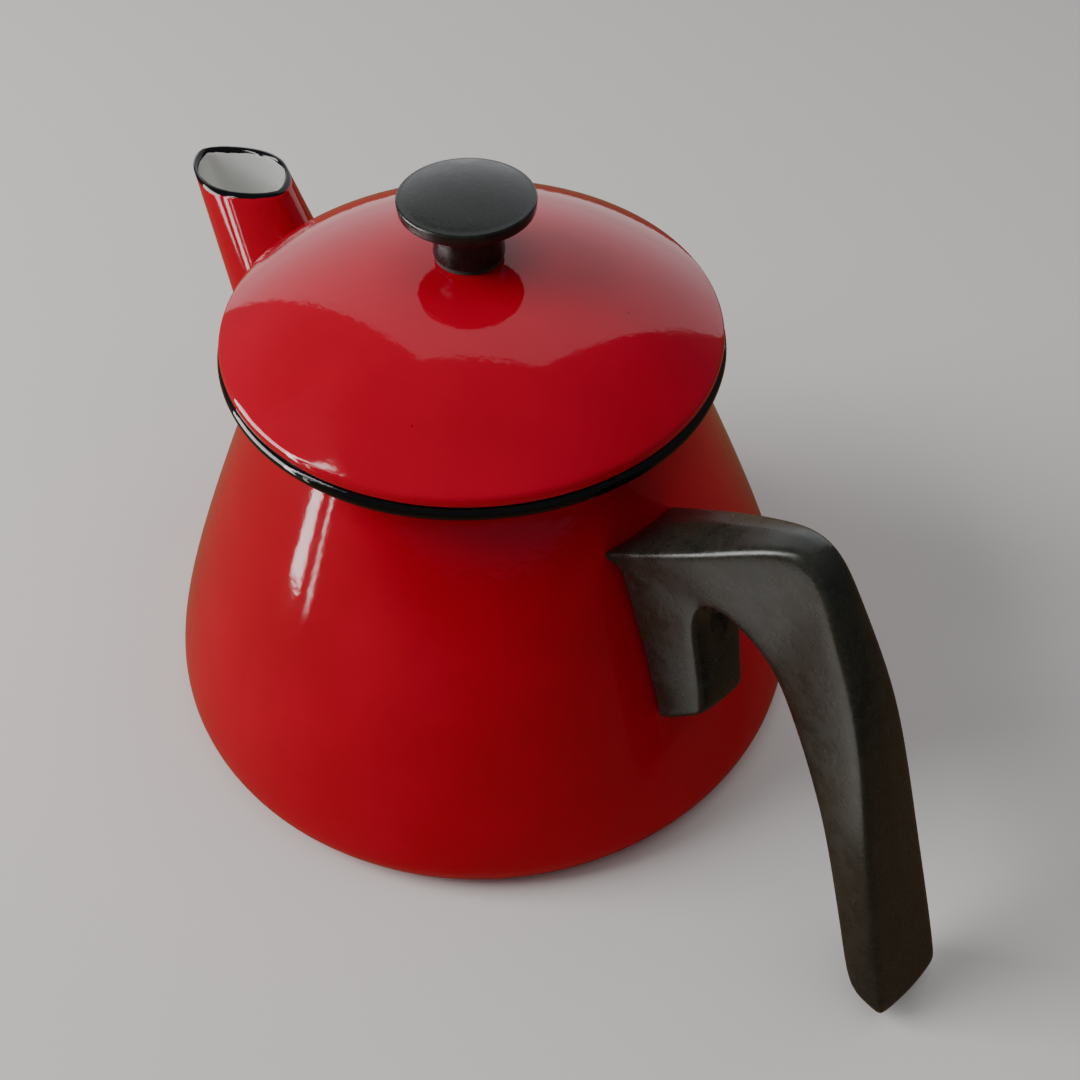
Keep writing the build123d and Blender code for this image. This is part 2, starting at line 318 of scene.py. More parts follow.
def tapered_tube(name, inset, extra=0.0):
    """An open tube between the spout's two rings, with its tip drawn out."""
    bpy.ops.object.select_all(action="DESELECT")
    bpy.ops.mesh.primitive_circle_add(vertices=SPOUT_SIDES, radius=1)
    piece = bpy.context.object
    piece.name = name
    edit(piece)
    bpy.ops.mesh.select_all(action="SELECT")
    place_ring(piece, *spout_ring(SPOUT_ROOT, inset), SPOUT_ROOT)
    bpy.ops.object.mode_set(mode="OBJECT")
    bpy.ops.object.select_all(action="DESELECT")
    bpy.ops.mesh.primitive_circle_add(vertices=SPOUT_SIDES, radius=1)
    mouth = bpy.context.object
    edit(mouth)
    bpy.ops.mesh.select_all(action="SELECT")
    middle, length, width = spout_ring(MOUTH_LEVEL, inset)
    place_ring(mouth, middle, length, width, MOUTH_LEVEL)
    bpy.ops.object.mode_set(mode="OBJECT")
    for point in mouth.data.vertices:
        outwards = (1 - (point.co.x - middle) / length) / 2
        point.co.x -= SPOUT_BEAK * outwards ** 4 - SPOUT_BACK * (1 - outwards) ** 4
        point.co.y *= (abs(point.co.y) / width) ** SPOUT_POINT
        point.co.y -= SPOUT_SKEW * (middle - point.co.x)
    bpy.ops.object.select_all(action="DESELECT")
    mouth.select_set(True)
    piece.select_set(True)
    bpy.context.view_layer.objects.active = piece
    bpy.ops.object.join()
    edit(piece)
    bpy.ops.mesh.select_all(action="SELECT")
    bpy.ops.mesh.bridge_edge_loops(number_cuts=SPOUT_CUTS, interpolation="LINEAR")
    if extra:
        pick(piece, "VERT", lambda p: p.z > MOUTH_LEVEL - HAIR)
        bpy.ops.mesh.extrude_region_move(TRANSFORM_OT_translate={"value": (0, 0, extra)})
    return piece


# %% The spout's outer wall, with its thickness
spout = tapered_tube("spout", 0)
close_edit(spout, 60)
spout_middle = (SPOUT_ROOT + MOUTH_LEVEL) / 2
face_outwards(spout, at(spout_ring(spout_middle, 0)[0], spout_middle))
two_slots(spout)
apply_modifier(
    spout, "SOLIDIFY", thickness=SPOUT_SHEET, offset=-1, material_offset=1, material_offset_rim=1,
)

# %% A plug of the spout's bore, which cuts the pour hole
bore = tapered_tube("bore", SPOUT_SHEET, BORE_REACH)
bpy.ops.mesh.select_mode(type="EDGE")
bpy.ops.mesh.select_all(action="DESELECT")
bpy.ops.mesh.select_non_manifold()
bpy.ops.mesh.edge_face_add()
close_edit(bore, 60)

# %% Trim the spout to the wall and open the pour hole
apply_modifier(spout, "BOOLEAN", operation="DIFFERENCE", object=core, solver="EXACT")
apply_modifier(body, "BOOLEAN", operation="DIFFERENCE", object=bore, solver="EXACT")
remove(core)
remove(bore)
print("spout", len(spout.data.polygons), "body", len(body.data.polygons))

# %% [markdown]
# The spout is welded on before enamelling, and the enamel runs into the joint and rounds it. So a thin
# bead follows the line where the two skins meet. A point of that line is found by walking down one of
# the spout's straight edges until it meets the wall.


# %% The wall's radius at a height
def wall_radius(level):
    """Outside radius of the body at a height on its wall."""
    square = NECK_LEVEL - CORNER - 2 * WALL_SWELL
    level = max(level, CORNER)
    t = (math.sqrt(WALL_SWELL ** 2 + square * (level - CORNER)) - WALL_SWELL) / square
    return BODY_RADIUS + t * t * (NECK_RADIUS - BODY_RADIUS)


HALVINGS = 30


def joint_point(turn):
    """Where the spout's straight edge at this turn meets the wall, found by halving a span."""
    low, high = SPOUT_ROOT, MOUTH_LEVEL
    for _ in range(HALVINGS):
        level = (low + high) / 2
        middle, length, width = spout_ring(level, 0)
        place = Vector((middle + length * math.cos(turn), width * math.sin(turn), level))
        if math.hypot(place.x, place.y) > wall_radius(level):
            high = level
        else:
            low = level
    return place


# %% Bead along the joint of spout and wall
BEAD_RADIUS = 0.9 * MM
BEAD_STEPS = 120
LOOK_AHEAD = 0.02

bpy.ops.object.select_all(action="DESELECT")
bpy.ops.mesh.primitive_torus_add(
    major_segments=BEAD_STEPS, minor_segments=12, major_radius=1, minor_radius=BEAD_RADIUS,
)
bead = bpy.context.object
bead.name = "spout_joint"
for point in bead.data.vertices:
    turn = math.atan2(point.co.y, point.co.x)
    ring_place = Vector((math.cos(turn), math.sin(turn), 0))
    here, ahead = joint_point(turn), joint_point(turn + LOOK_AHEAD)
    outwards = Vector((here.x, here.y, 0)).normalized()
    along = (ahead - here).normalized()
    side = along.cross(outwards).normalized()
    off = point.co - ring_place
    point.co = here + outwards * off.z + side * off.dot(ring_place)
edit(bead)
close_edit(bead)

# %% [markdown]
# ## The rim
#
# A hoop of wire stiffens the mouth, and black enamel is wiped over it by hand. A torus at the rim's
# level stands for it. Its points are moved in and out by a fraction of a millimetre in a slow wave,
# since no wiped edge is quite even.

# %% The rim hoop
RIM_STEPS = 240
ENAMEL_PLAY = 0.12 * MM

bpy.ops.object.select_all(action="DESELECT")
bpy.ops.mesh.primitive_torus_add(
    location=(0, 0, HOOP_LEVEL), major_segments=RIM_STEPS, minor_segments=20,
    major_radius=MOUTH_RADIUS, minor_radius=HOOP_RADIUS - ENAMEL_PLAY,
)
rim = bpy.context.object
rim.name = "rim_bead"
bpy.ops.object.transform_apply(location=True, rotation=True, scale=True)
for point in rim.data.vertices:
    turn = math.atan2(point.co.y, point.co.x)
    wave = 0.06 * math.sin(5 * turn + 1) + 0.04 * math.sin(11 * turn)
    middle = Vector((math.cos(turn), math.sin(turn), 0)) * MOUTH_RADIUS + Vector((0, 0, HOOP_LEVEL))
    point.co += (point.co - middle).normalized() * wave * MM
edit(rim)
close_edit(rim)

# %% [markdown]
# ## The lid
#
# The lid is a shallow dome with its edge turned down in a small radius. The outline runs from the
# screw hole to the edge, and Solidify gives it thickness below. The turned edge is then bevelled,
# because enamel never lies on a sharp corner.

# %% The lid's dome
LID_ROLL = 2.2 * MM
LID_SKIRT = 1.4 * MM
LID_BEVEL = 0.45 * MM
SCREW_HOLE = 2.3 * MM

roll_centre = at(lid_high.x - LID_ROLL, lid_low.z + LID_SKIRT)
drop = lid_high.z - roll_centre.z
dome_radius = (roll_centre.x ** 2 + drop ** 2 - LID_ROLL ** 2) / (2 * (drop - LID_ROLL))
dome_centre = at(0, lid_high.z - dome_radius)
edge_angle = math.degrees(math.atan2(roll_centre.z - dome_centre.z, roll_centre.x))
hole_angle = 90 - math.degrees(math.asin(SCREW_HOLE / dome_radius))

lid_outline = arc(dome_centre, dome_radius, hole_angle, edge_angle, 40)
lid_outline += arc(roll_centre, LID_ROLL, edge_angle, 0, 8)[1:]
lid_outline += [at(lid_high.x, lid_low.z)]
lid = spun("lid", lid_outline, 192)
face_outwards(lid, at(0, lid_low.z))
two_slots(lid)
apply_modifier(lid, "SOLIDIFY", thickness=SHEET, offset=-1, material_offset=1, material_offset_rim=0)

# %% Round the lid's edge
NEAR_ENOUGH = 0.05 * MM


def round_edge(a, b):
    """True for an edge that runs round the lid at its lowest level."""
    level = max(a.z, b.z) < lid_low.z + NEAR_ENOUGH
    return level and abs(a.xy.length - b.xy.length) < NEAR_ENOUGH


edit(lid)
pick(lid, "EDGE", round_edge)
bpy.ops.mesh.bevel(offset=LID_BEVEL, segments=3, affect="EDGES")
close_edit(lid, 50)

# %% [markdown]
# ## The knob
#
# The knob is a phenolic moulding like a mushroom: a short stem, a wide undercut disc with a soft edge,
# and a slightly domed top. A brass insert sits in its bore.

# %% The knob's outline
KNOB_NECK = 9.1 * MM
KNOB_CROWN = 3.0 * MM
KNOB_EDGE = 0.7 * MM
KNOB_BAND = 1.9 * MM
STEM_CORNER = 0.5 * MM
INSERT_RADIUS = 3.4 * MM
INSERT_LENGTH = 11.0 * MM

seat = knob_low.z
edge_centre = at(knob_high.x - KNOB_EDGE, knob_high.z - KNOB_CROWN - KNOB_EDGE)
lower_centre = edge_centre - at(0.15 * MM, KNOB_BAND)
under_edge = lower_centre + at(0, -KNOB_EDGE)
over_edge = edge_centre + at(-0.1 * MM, KNOB_EDGE)
knob_crown = at(0, knob_high.z)
stem_high = at(KNOB_NECK - 0.4 * MM, seat + 5 * MM)

knob_outline = [at(0, seat + INSERT_LENGTH), at(INSERT_RADIUS, seat + INSERT_LENGTH)]
knob_outline += [at(INSERT_RADIUS, seat)]
knob_outline += arc(at(KNOB_NECK - STEM_CORNER, seat + STEM_CORNER), STEM_CORNER, -90, 0, 4)
knob_outline += [stem_high]
knob_outline += curve(
    [stem_high, stem_high + at(-0.4 * MM, 5.2 * MM), under_edge - at(6 * MM, 1.8 * MM), under_edge], 14,
)[1:]
knob_outline += arc(lower_centre, KNOB_EDGE, -90, 0, 6)[1:]
knob_outline += arc(edge_centre, KNOB_EDGE, 0, 80, 6)
knob_outline += curve([over_edge, knob_crown + at(9 * MM, -0.15 * MM), knob_crown], 16)
knob = spun("knob_moulding", knob_outline, 128)

# %% [markdown]
# ## The handle
#
# The handle is one phenolic moulding: a pad that hugs the wall, an arm that climbs away from it, and a
# grip that hangs down. Seen from the side it is a ribbon bent round an arch. So a ribbon of quads is
# extruded station by station, from the foot of the pad, round the arch, to the toe of the grip. It is
# then given a width, and each station is scaled to its own half width. A station lists its back point,
# its inner point, the half width at each, and how far the middle of the outer face stands out, all in
# millimetres. The pad's stations give only the level of the back point, as the wall gives the rest.

# %% Stations of the pad, which take their back points from the wall
PAD_SINK = 0.6

pad_stations = [
    (46.5, (99.0, 59.2), 13.2, 8.6, 0.8),
    (50.0, (98.8, 61.5), 13.2, 8.5, 1.1),
    (58.0, (97.6, 68.5), 13.2, 8.5, 1.2),
    (68.0, (95.6, 77.0), 13.1, 8.7, 1.2),
    (78.0, (93.8, 85.0), 13.0, 9.1, 1.2),
    (87.0, (92.7, 91.6), 13.2, 9.7, 1.4),
    (93.5, (92.8, 96.6), 13.2, 9.8, 1.2),
    (98.7, (93.8, 100.2), 12.9, 9.5, 0.8),
]
# %% Stations of the arm and grip
arm_stations = [
    ((71.5, 104.6), (95.6, 102.2), 12.4, 9.0, 2.3),
    ((82.0, 112.6), (98.2, 103.0), 11.6, 8.4, 2.5),
    ((92.0, 120.2), (101.0, 102.2), 10.2, 7.7, 2.3),
    ((100.5, 126.6), (104.0, 100.2), 8.4, 6.9, 1.9),
    ((107.0, 131.2), (107.2, 97.9), 6.9, 6.2, 1.5),
    ((111.6, 133.6), (110.3, 95.4), 5.9, 5.6, 1.2),
    ((116.0, 134.1), (113.2, 92.6), 5.2, 5.2, 1.0),
    ((119.8, 132.3), (115.8, 89.6), 5.1, 5.1, 1.0),
    ((123.4, 128.1), (118.8, 86.0), 5.4, 5.2, 1.1),
    ((128.6, 120.0), (123.2, 80.2), 6.1, 5.7, 1.2),
    ((134.2, 111.2), (128.4, 72.9), 6.8, 6.3, 1.3),
    ((139.4, 101.8), (133.6, 64.8), 7.5, 7.0, 1.4),
    ((144.2, 90.6), (138.6, 56.2), 8.3, 7.7, 1.5),
    ((149.6, 75.8), (143.6, 46.6), 9.3, 8.7, 1.5),
    ((155.8, 57.6), (149.4, 34.2), 10.5, 9.9, 1.5),
    ((162.3, 39.2), (154.6, 22.6), 11.6, 10.9, 1.5),
    ((168.3, 22.6), (158.6, 13.4), 12.3, 11.8, 1.4),
    ((172.7, 10.4), (161.8, 7.6), 12.5, 12.3, 1.2),
    ((174.4, 4.7), (166.8, 4.7), 12.4, 12.3, 0.8),
]

# %% Put both kinds of station in one list, in metres
stations = []
for level, inner, back_half, inner_half, stand_out in pad_stations:
    depth = (wall_radius(level * MM) / MM - PAD_SINK) ** 2 - back_half ** 2
    back = (math.sqrt(depth), level)
    stations.append((at(*back) * MM, at(*inner) * MM, back_half * MM, inner_half * MM, stand_out * MM))
for back, inner, back_half, inner_half, stand_out in arm_stations:
    stations.append((at(*back) * MM, at(*inner) * MM, back_half * MM, inner_half * MM, stand_out * MM))
print("handle stations", len(stations))


# %% Extrude the ribbon from station to station
def near(place, spot):
    """True for a point that stands over this spot of the side view."""
    return math.hypot(place.x - spot.x, place.z - spot.z) < 0.02 * MM


handle = single_point("handle_moulding", stations[0][0])
bpy.ops.mesh.extrude_region_move(TRANSFORM_OT_translate={"value": stations[0][1] - stations[0][0]})
bpy.ops.mesh.select_all(action="SELECT")
for last, station in zip(stations, stations[1:]):
    step = station[0] - last[0]
    bpy.ops.mesh.extrude_region_move(TRANSFORM_OT_translate={"value": step})
    carried = last[1] + step
    pick(handle, "VERT", lambda p: near(p, carried))
    bpy.ops.transform.translate(value=station[1] - carried)
    pick(handle, "VERT", lambda p: near(p, station[0]) or near(p, station[1]))
    bpy.ops.mesh.select_mode(type="EDGE")

# %% Give the ribbon its width, station by station
bpy.ops.mesh.select_mode(type="VERT")
bpy.ops.mesh.select_all(action="SELECT")
bpy.ops.transform.translate(value=(0, -1, 0))
bpy.ops.mesh.extrude_region_move(TRANSFORM_OT_translate={"value": (0, 2, 0)})
for back, inner, back_half, inner_half, stand_out in stations:
    for spot, half in ((back, back_half), (inner, inner_half)):
        pick(handle, "VERT", lambda p: near(p, spot))
        bpy.ops.transform.resize(value=(1, half, 1), center_override=(0, 0, 0))

# %% Cut it down the middle, and raise the middle line into a ridge
bpy.ops.mesh.select_all(action="SELECT")
bpy.ops.mesh.bisect(plane_co=(0, 0, 0), plane_no=(0, 1, 0))
ridge = []
for index, (back, inner, back_half, inner_half, stand_out) in enumerate(stations):
    on_pad = index < len(pad_stations)
    spot = inner if on_pad else back
    away = (inner - back).normalized() if on_pad else (back - inner).normalized()
    pick(handle, "VERT", lambda p: abs(p.y) < HAIR and near(p, spot))
    bpy.ops.transform.translate(value=away * stand_out)
    ridge.append(spot + away * stand_out)
    if on_pad:
        hug = wall_radius(back.z) - PAD_SINK * MM - back.x
        pick(handle, "VERT", lambda p: abs(p.y) < HAIR and near(p, back))
        bpy.ops.transform.translate(value=(hug, 0, 0))

# %% Keep the ridge crisp
ridge_spots = ridge[len(pad_stations):]
pick(handle, "EDGE", lambda a, b: abs(a.y) + abs(b.y) < HAIR
     and any(near(a, spot) for spot in ridge_spots) and any(near(b, spot) for spot in ridge_spots))
bpy.ops.transform.edge_crease(value=0.75)

# %% Bevel the sharp edges, apart from those that lie against the wall
SIDE_BEVEL = 2.7 * MM
PAD_TOP = 99 * MM
WALL_REACH = 0.5 * MM


def on_wall(place):
    """True for a point that lies against the wall."""
    return place.z < PAD_TOP and math.hypot(place.x, place.y) < wall_radius(place.z) + WALL_REACH


bpy.ops.mesh.select_mode(type="EDGE")
bpy.ops.mesh.select_all(action="DESELECT")
bpy.ops.mesh.edges_select_sharp(sharpness=math.radians(50))
bpy.ops.object.mode_set(mode="OBJECT")
sharp = [edge.index for edge in handle.data.edges if edge.select]
side_edges = []
for index in sharp:
    ends = [handle.data.vertices[i].co for i in handle.data.edges[index].vertices]
    if not all(on_wall(end) for end in ends):
        side_edges.append(index)
print("edges on the wall", len(sharp) - len(side_edges), "along the sides", len(side_edges))
for edge in handle.data.edges:
    edge.select = edge.index in side_edges
bpy.ops.object.mode_set(mode="EDIT")
bpy.ops.mesh.bevel(offset=SIDE_BEVEL, segments=2, affect="EDGES", profile=0.6)
close_edit(handle, 60)
apply_modifier(handle, "SUBSURF", levels=2, render_levels=2)

# %% [markdown]
# The handle's screw is reached from below through a round recess. A cylinder on the screw's axis cuts
# it out of the moulding, up to the washer.

# %% Cut the recess for the handle's screw
RECESS_RADIUS = 3.9 * MM
RECESS_DEPTH = 30 * MM
SCREW_LEAN = math.radians(33)

washer_centre = (washer_low + washer_high) / 2
screw_axis = Vector((-math.sin(SCREW_LEAN), 0, math.cos(SCREW_LEAN)))
bpy.ops.object.select_all(action="DESELECT")
bpy.ops.mesh.primitive_cylinder_add(
    vertices=64, radius=RECESS_RADIUS, depth=RECESS_DEPTH, rotation=(0, -SCREW_LEAN, 0),
    location=washer_centre - screw_axis * (RECESS_DEPTH / 2 - 0.5 * MM),
)
recess = bpy.context.object
bpy.ops.object.transform_apply(location=True, rotation=True, scale=True)
apply_modifier(handle, "BOOLEAN", operation="DIFFERENCE", object=recess, solver="EXACT")
remove(recess)
bpy.ops.object.select_all(action="DESELECT")
handle.select_set(True)
bpy.context.view_layer.objects.active = handle
bpy.ops.object.shade_smooth_by_angle(angle=math.radians(35))
print("handle", len(handle.data.polygons), "faces")


# %% [markdown]
# ## Finishes
#
# Vitreous enamel is coloured glass fused to steel. It is very smooth, with a faint orange peel and a
# slow unevenness from dipping, and it carries tiny specks and pinholes. Its look is mostly reflection,
# so the colour can be plain and the bump does the work. Effects that several finishes share are node
# groups, which put out a mask, a value or a normal.

# %% Tools for building node groups and materials
def new_group(name, inputs, outputs):
    """A shader node group with named inputs (socket, default) and outputs (socket)."""
    group = bpy.data.node_groups.new(name, "ShaderNodeTree")
    for label, kind, value in inputs:
        socket = group.interface.new_socket(name=label, in_out="INPUT", socket_type=kind)
        if value is not None:
            socket.default_value = value
    for label, kind in outputs:
        group.interface.new_socket(name=label, in_out="OUTPUT", socket_type=kind)
    entry = group.nodes.new("NodeGroupInput")
    leave = group.nodes.new("NodeGroupOutput")
    return group, entry.outputs, leave.inputs


def node(tree, kind, settings=None, **links):
    """Add a node, set its properties, and link or set its inputs by name or number."""
    made = tree.nodes.new(kind)
    for name, value in (settings or {}).items():
        setattr(made, name, value)
    for name, value in links.items():
        key = int(name[1:]) if name[0] == "i" and name[1:].isdigit() else name.replace("_", " ")
        if isinstance(value, bpy.types.NodeSocket):
            tree.links.new(value, made.inputs[key])
        else:
            made.inputs[key].default_value = value
    return made


def maths(tree, operation, first, second=0.0):
    """A Math node's output."""
    return node(tree, "ShaderNodeMath", {"operation": operation}, i0=first, i1=second).outputs[0]


def noise(tree, place, scale, detail=2.0, roughness=0.5):
    """A noise texture's value at a place."""
    made = node(
        tree, "ShaderNodeTexNoise", Vector=place, Scale=scale, Detail=detail, Roughness=roughness,
    )
    return made.outputs[0]


def ramp(tree, value, low, high, start=0.0, end=1.0):
    """A value carried smoothly from low..high to start..end."""
    made = node(
        tree, "ShaderNodeMapRange", {"interpolation_type": "SMOOTHSTEP"},
        i0=value, i1=low, i2=high, i3=start, i4=end,
    )
    return made.outputs[0]


# %% Group: the skin of fused enamel
skin_group, skin_in, skin_out = new_group(
    "enamel_skin",
    [("Place", "NodeSocketVector", None), ("Peel", "NodeSocketFloat", 0.05),
     ("Sag", "NodeSocketFloat", 0.05)],
    [("Normal", "NodeSocketVector"), ("Specks", "NodeSocketFloat"), ("Clouds", "NodeSocketFloat")],
)
peel = noise(skin_group, skin_in["Place"], 420.0, 2.0)
slow = noise(skin_group, skin_in["Place"], 30.0, 1.0)
peel_bump = node(skin_group, "ShaderNodeBump", Strength=skin_in["Peel"], Distance=0.0006, Height=peel)
both_bump = node(
    skin_group, "ShaderNodeBump", Strength=skin_in["Sag"], Distance=0.006, Height=slow,
    Normal=peel_bump.outputs[0],
)
speck_cells = node(
    skin_group, "ShaderNodeTexVoronoi", Vector=skin_in["Place"], Scale=130.0, Randomness=1.0,
)
speck_size = noise(skin_group, skin_in["Place"], 60.0, 1.0)
speck_limit = ramp(skin_group, speck_size, 0.55, 0.75, 0.0, 0.045)
specks = maths(skin_group, "LESS_THAN", speck_cells.outputs["Distance"], speck_limit)
clouds = noise(skin_group, skin_in["Place"], 22.0, 4.0)
skin_group.links.new(both_bump.outputs[0], skin_out["Normal"])
skin_group.links.new(specks, skin_out["Specks"])
skin_group.links.new(clouds, skin_out["Clouds"])
print("enamel_skin", len(skin_group.nodes), "nodes")

# %% [markdown]
# The black edge at the rim and at the spout's mouth is wiped on by hand. Its border wanders, so the
# band's height is disturbed by two noises before it is compared with the level.

# %% Group: a band of black enamel above a wandering level
band_group, band_in, band_out = new_group(
    "wiped_band",
    [("Place", "NodeSocketVector", None), ("Level", "NodeSocketFloat", 0.12),
     ("Wander", "NodeSocketFloat", 0.001)],
    [("Mask", "NodeSocketFloat")],
)
height = node(band_group, "ShaderNodeSeparateXYZ", Vector=band_in["Place"]).outputs["Z"]
slow_edge = maths(band_group, "SUBTRACT", noise(band_group, band_in["Place"], 45.0, 1.0), 0.5)
fine_edge = maths(band_group, "SUBTRACT", noise(band_group, band_in["Place"], 260.0, 2.0), 0.5)
edge_sum = maths(band_group, "ADD", slow_edge, maths(band_group, "MULTIPLY", fine_edge, 0.35))
wander = maths(band_group, "MULTIPLY", edge_sum, band_in["Wander"])
border = maths(band_group, "ADD", band_in["Level"], wander)
above = maths(band_group, "SUBTRACT", height, border)
band_mask = ramp(band_group, above, -0.00008, 0.00012)
band_group.links.new(band_mask, band_out["Mask"])


# %% Make an enamel finish
def mix_colour(tree, factor, first, second):
    """A colour mixed from two, each a socket or a tuple."""
    made = tree.nodes.new("ShaderNodeMix")
    made.data_type = "RGBA"
    for socket, value in ((made.inputs[0], factor), (made.inputs[6], first), (made.inputs[7], second)):
        if isinstance(value, bpy.types.NodeSocket):
            tree.links.new(value, socket)
        else:
            socket.default_value = (*value, 1) if isinstance(value, tuple) else value
    return made.outputs[2]


def group_node(tree, group, **values):
    """Place a node group, with its inputs set or linked."""
    made = tree.nodes.new("ShaderNodeGroup")
    made.node_tree = group
    for name, value in values.items():
        if isinstance(value, bpy.types.NodeSocket):
            tree.links.new(value, made.inputs[name])
        else:
            made.inputs[name].default_value = value
    return made.outputs


def new_material(name):
    """A node material with only a Principled shader, and its tree, shader and object place."""
    material = bpy.data.materials.new(name)
    material.use_nodes = True
    tree = material.node_tree
    shader = tree.nodes["Principled BSDF"]
    place = tree.nodes.new("ShaderNodeTexCoord").outputs["Object"]
    return material, tree, shader, place


BLACK_ENAMEL = (0.0035, 0.0035, 0.004)


def enamel(name, light, deep, peel=0.05, sag=0.014, band=None, wander=0.0012):
    """Glossy enamel whose colour clouds between two shades, with a black band above a level."""
    material, tree, shader, place = new_material(name)
    skin = group_node(tree, skin_group, Place=place, Peel=peel, Sag=sag)
    colour = mix_colour(tree, ramp(tree, skin["Clouds"], 0.3, 0.7), light, deep)
    colour = mix_colour(tree, skin["Specks"], colour, tuple(0.45 * part for part in deep))
    if band is not None:
        mask = group_node(tree, band_group, Place=place, Level=band, Wander=wander)["Mask"]
        colour = mix_colour(tree, mask, colour, BLACK_ENAMEL)
    tree.links.new(colour, shader.inputs["Base Color"])
    tree.links.new(ramp(tree, skin["Clouds"], 0.25, 0.75, 0.05, 0.085), shader.inputs["Roughness"])
    tree.links.new(skin["Normal"], shader.inputs["Normal"])
    shader.inputs["Specular IOR Level"].default_value = 0.34
    return material


# %% The enamels
RED, DEEP_RED = (0.55, 0.0008, 0.021), (0.47, 0.0006, 0.016)
WHITE, DULL_WHITE = (0.87, 0.88, 0.84), (0.78, 0.79, 0.75)
RIM_BAND = HOOP_LEVEL - 2.6 * MM
MOUTH_BAND = MOUTH_LEVEL - 0.9 * MM

red_body = enamel("red_body_enamel", RED, DEEP_RED, band=RIM_BAND)
white_body = enamel("white_body_enamel", WHITE, DULL_WHITE, band=RIM_BAND)
red_spout = enamel(
    "red_spout_enamel", RED, DEEP_RED, peel=0.02, band=MOUTH_BAND - 0.3 * MM, wander=0.0018,
)
white_spout = enamel(
    "white_spout_enamel", WHITE, DULL_WHITE, band=MOUTH_BAND - 0.6 * MM, wander=0.0038,
)
red_lid = enamel("red_lid_enamel", RED, DEEP_RED)
white_lid = enamel("white_lid_enamel", WHITE, DULL_WHITE)
black_rim = enamel("black_rim_enamel", BLACK_ENAMEL, (0.002, 0.002, 0.002), peel=0.1, sag=0.1)
print("enamels made", len(bpy.data.materials), "materials so far")

# %% [markdown]
# Phenolic is a hard, dark moulding resin filled with wood flour. New, it is glossy black. Years of
# washing dull it to a mottled grey-black, with olive and brown tints, fine pale scratches and paler
# worn edges. So the finish mixes three noises for colour and roughness, and adds a fine grain.

# %% Group: age on phenolic
age_group, age_in, age_out = new_group(
    "phenolic_age",
    [("Place", "NodeSocketVector", None)],
    [("Mottle", "NodeSocketFloat"), ("Tint", "NodeSocketFloat"), ("Fleck", "NodeSocketFloat"),
     ("Scratch", "NodeSocketFloat"), ("Normal", "NodeSocketVector")],
)
mottle = noise(age_group, age_in["Place"], 160.0, 6.0, 0.65)
tint = noise(age_group, age_in["Place"], 30.0, 3.0)
fleck = noise(age_group, age_in["Place"], 900.0, 3.0, 0.7)
stretched = node(age_group, "ShaderNodeMapping", Vector=age_in["Place"], Scale=(900.0, 1400.0, 70.0))
scratch = noise(age_group, stretched.outputs[0], 1.0, 2.0)
grain = node(age_group, "ShaderNodeBump", Strength=0.22, Distance=0.0002, Height=fleck)
dents = node(
    age_group, "ShaderNodeBump", Strength=0.05, Distance=0.002, Height=mottle,
    Normal=grain.outputs[0],
)
for label, source, low, high in (
    ("Mottle", mottle, 0.35, 0.68),
    ("Tint", tint, 0.35, 0.65),
    ("Fleck", fleck, 0.52, 0.72),
    ("Scratch", scratch, 0.66, 0.78),
):
    age_group.links.new(ramp(age_group, source, low, high), age_out[label])
age_group.links.new(dents.outputs[0], age_out["Normal"])
print("phenolic_age", len(age_group.nodes), "nodes")


# %% Make the phenolic finishes
SCRATCH_SHADE = (0.16, 0.16, 0.15)


def phenolic(name, dark, pale, tinted, smooth, rough):
    """Dulled phenolic: mottled between dark and pale, tinted, flecked and finely scratched."""
    material, tree, shader, place = new_material(name)
    age = group_node(tree, age_group, Place=place)
    colour = mix_colour(tree, age["Mottle"], dark, pale)
    for effect, amount, shade in (
        ("Tint", 0.55, tinted),
        ("Fleck", 0.35, tuple(2.2 * part for part in pale)),
        ("Scratch", 0.12, SCRATCH_SHADE),
    ):
        colour = mix_colour(tree, maths(tree, "MULTIPLY", age[effect], amount), colour, shade)
    tree.links.new(colour, shader.inputs["Base Color"])
    tree.links.new(ramp(tree, age["Mottle"], 0.0, 1.0, smooth, rough), shader.inputs["Roughness"])
    tree.links.new(age["Normal"], shader.inputs["Normal"])
    shader.inputs["Specular IOR Level"].default_value = 0.38
    return material


handle_phenolic = phenolic(
    "handle_phenolic", (0.012, 0.0142, 0.0115), (0.022, 0.0238, 0.0185), (0.021, 0.0185, 0.010),
    0.25, 0.33,
)
knob_phenolic = phenolic(
    "knob_phenolic", (0.007, 0.009, 0.008), (0.016, 0.019, 0.016), (0.012, 0.013, 0.008), 0.24, 0.34,
)


# %% [markdown]
# The small fixings are hidden or half hidden, but a lifted lid shows some of them. Plain steel is a
# little stained, brass has dulled, and the seal under the knob is pressed fibre.

# %% Finishes of the fixings
def fixing(name, light, dark, metallic, smooth, rough, scale):
    """A small part's finish: two shades in a fine noise, with matching roughness and grain."""
    material, tree, shader, place = new_material(name)
    stain = noise(tree, place, scale, 5.0, 0.6)
    colour = mix_colour(tree, ramp(tree, stain, 0.35, 0.65), light, dark)
    tree.links.new(colour, shader.inputs["Base Color"])
    tree.links.new(ramp(tree, stain, 0.3, 0.7, smooth, rough), shader.inputs["Roughness"])
    fine = noise(tree, place, 4 * scale, 3.0)
    grain_bump = node(tree, "ShaderNodeBump", Strength=0.15, Distance=0.0001, Height=fine)
    tree.links.new(grain_bump.outputs[0], shader.inputs["Normal"])
    shader.inputs["Metallic"].default_value = metallic
    return material


